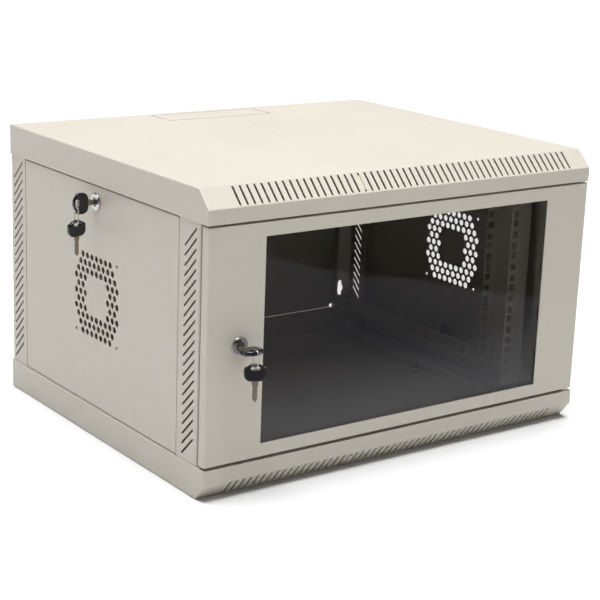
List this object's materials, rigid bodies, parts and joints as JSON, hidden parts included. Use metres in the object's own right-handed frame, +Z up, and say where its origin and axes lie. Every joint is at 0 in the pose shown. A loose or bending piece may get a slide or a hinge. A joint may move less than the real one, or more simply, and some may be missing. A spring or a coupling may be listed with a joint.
{
  "type": "wall-mount network rack cabinet",
  "caption": "Light grey wall-mount rack cabinet with a glazed swing door, slotted covers, removable lockable side panels and square-holed rack rails.",
  "frame": {"origin": "centre of the underside", "axes": "+Z up, the door faces -Y, the keyed side panel faces -X"},
  "size_m": [0.6409, 0.5417, 0.373],
  "materials": {
    "powder_coat": "fine-textured light grey powder coat",
    "zinc": "zinc-plated",
    "dark_steel": "blackened",
    "nylon": "matte",
    "glass": "clear with a slight grey tint",
    "foam": "matte foam",
    "lock_chrome": "bright plated",
    "plug_nickel": "satin plated",
    "key_plastic": "glossy black",
    "key_brass": "satin"
  },
  "bodies": {
    "case": {"top_cover": "powder_coat", "top_entry_plate": "powder_coat", "chamfer_stay": "powder_coat", "bottom_cover": "powder_coat", "bottom_entry_plate": "powder_coat", "post_front_left": "powder_coat", "post_front_right": "powder_coat", "post_rear_left": "powder_coat", "post_rear_right": "powder_coat", "back_panel": "powder_coat", "floor_runners": "powder_coat", "roof_runners": "powder_coat", "side_rail_bottom_left": "powder_coat", "side_rail_bottom_right": "powder_coat", "side_rail_top_left": "powder_coat", "side_rail_top_right": "powder_coat", "rack_rail_left": "powder_coat", "rack_rail_right": "powder_coat", "rail_bolts": "zinc", "rail_nuts": "zinc", "runner_bolts": "zinc", "back_screws": "zinc", "stud_nuts": "zinc", "earth_stud": "dark_steel", "hinge_bushes": "nylon"},
    "door": {"door_frame": "powder_coat", "door_glass": "glass", "glass_tape": "foam", "glass_clips": "zinc", "clip_nuts": "zinc", "hinge_pin_lower": "zinc", "hinge_spring": "zinc", "door_lock_barrel": "lock_chrome", "door_lock_nut": "zinc"},
    "hinge_pin": {"hinge_pin_upper": "zinc"},
    "door_plug": {"door_lock_plug": "plug_nickel", "door_lock_cam": "zinc", "door_cam_screw": "zinc", "door_key_bow": "key_plastic", "door_key_blade": "key_brass"},
    "door_ring": {"door_key_ring": "zinc"},
    "door_spare_key": {"door_spare_bow": "key_plastic", "door_spare_blade": "key_brass"},
    "left_panel": {"side_panel_left": "powder_coat", "left_lock_barrel": "lock_chrome", "left_lock_nut": "zinc"},
    "left_plug": {"left_lock_plug": "plug_nickel", "left_lock_cam": "zinc", "left_cam_screw": "zinc", "left_key_bow": "key_plastic", "left_key_blade": "key_brass"},
    "left_ring": {"left_key_ring": "zinc"},
    "left_spare_key": {"left_spare_bow": "key_plastic", "left_spare_blade": "key_brass"},
    "right_panel": {"side_panel_right": "powder_coat", "right_lock_barrel": "lock_chrome", "right_lock_nut": "zinc"},
    "right_plug": {"right_lock_plug": "plug_nickel", "right_lock_cam": "zinc", "right_cam_screw": "zinc"}
  },
  "joints": [
    {"name": "door_hinge", "type": "hinge", "parent": "case", "child": "door", "pos_m": [0.291, -0.2425, 0.0435], "axis": [0, 0, 1], "range_deg": [0, 180]},
    {"name": "hinge_pin_slide", "type": "slide", "parent": "door", "child": "hinge_pin", "axis": [0, 0, -1], "range_m": [0, 0.007], "stiffness_N_per_m": 400, "springref_m": -0.005, "deforming": ["hinge_spring"]},
    {"name": "door_lock_turn", "type": "hinge", "parent": "door", "child": "door_plug", "pos_m": [-0.254, -0.25, 0.187], "axis": [0, -1, 0], "range_deg": [0, 90]},
    {"name": "door_ring_swing", "type": "hinge", "parent": "door_plug", "child": "door_ring", "pos_m": [-0.254, -0.284, 0.187], "axis": [1, 0, 0], "range_deg": [-15, 10]},
    {"name": "door_spare_swing", "type": "hinge", "parent": "door_ring", "child": "door_spare_key", "pos_m": [-0.254, -0.284, 0.1699], "axis": [0, 1, 0], "range_deg": [-25, 25]},
    {"name": "left_panel_tilt", "type": "hinge", "parent": "case", "child": "left_panel", "pos_m": [-0.2985, 0.00996, 0.0408], "axis": [0, -1, 0], "range_deg": [0, 30]},
    {"name": "left_lock_turn", "type": "hinge", "parent": "left_panel", "child": "left_plug", "pos_m": [-0.2985, 0.00996, 0.3112], "axis": [1, 0, 0], "range_deg": [0, 90]},
    {"name": "left_ring_swing", "type": "hinge", "parent": "left_plug", "child": "left_ring", "pos_m": [-0.3264, 0.00996, 0.30713], "axis": [0, 1, 0], "range_deg": [-5, 15]},
    {"name": "left_spare_swing", "type": "hinge", "parent": "left_ring", "child": "left_spare_key", "pos_m": [-0.3264, 0.00996, 0.28613], "axis": [0, 1, 0], "range_deg": [-8, 20]},
    {"name": "right_panel_tilt", "type": "hinge", "parent": "case", "child": "right_panel", "pos_m": [0.2985, 0.00996, 0.3322], "axis": [0, -1, 0], "range_deg": [0, 30]},
    {"name": "right_lock_turn", "type": "hinge", "parent": "right_panel", "child": "right_plug", "pos_m": [0.2985, 0.00996, 0.0618], "axis": [-1, 0, 0], "range_deg": [0, 90]}
  ]
}
